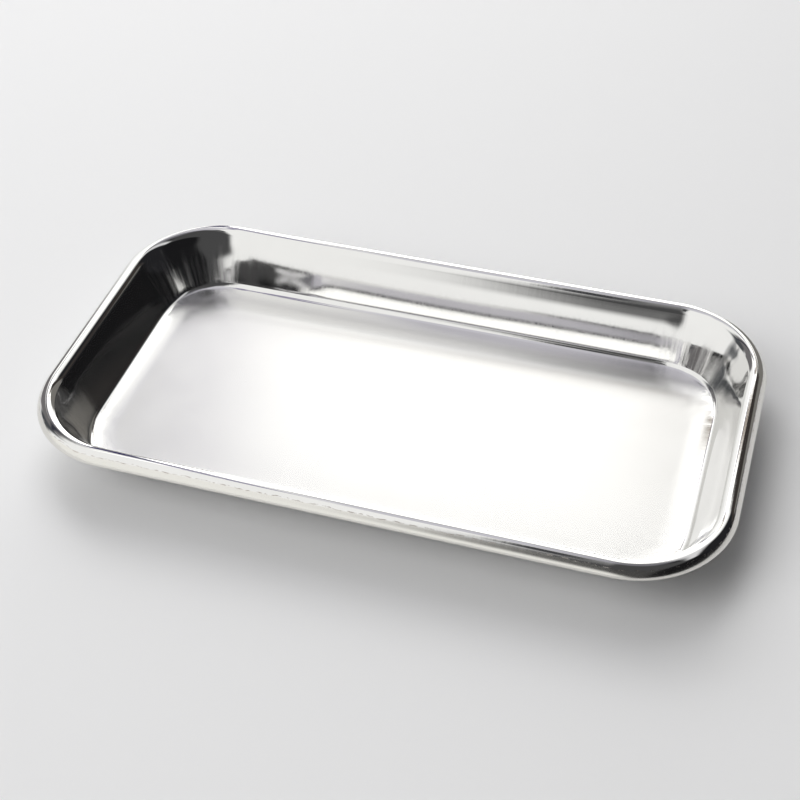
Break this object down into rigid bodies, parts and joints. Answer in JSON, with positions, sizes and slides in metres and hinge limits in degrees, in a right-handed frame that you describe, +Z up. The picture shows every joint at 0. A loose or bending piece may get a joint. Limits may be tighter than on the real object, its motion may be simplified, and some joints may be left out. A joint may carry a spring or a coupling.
{
  "type": "instrument tray",
  "caption": "Shallow rectangular stainless steel tray with rounded corners, leaning walls, a flat floor and a rolled rim, for laying out small hand instruments.",
  "frame": {"origin": "middle of the flat underside, on the surface that the tray stands on", "axes": "+X along the long side, +Y along the short side, +Z up, out of the open side"},
  "size_m": [0.225, 0.125, 0.02],
  "materials": {
    "tray_steel": "polished stainless steel, with a slightly softer, finely brushed floor"
  },
  "bodies": {
    "root": {"tray": "tray_steel"}
  },
  "joints": []
}
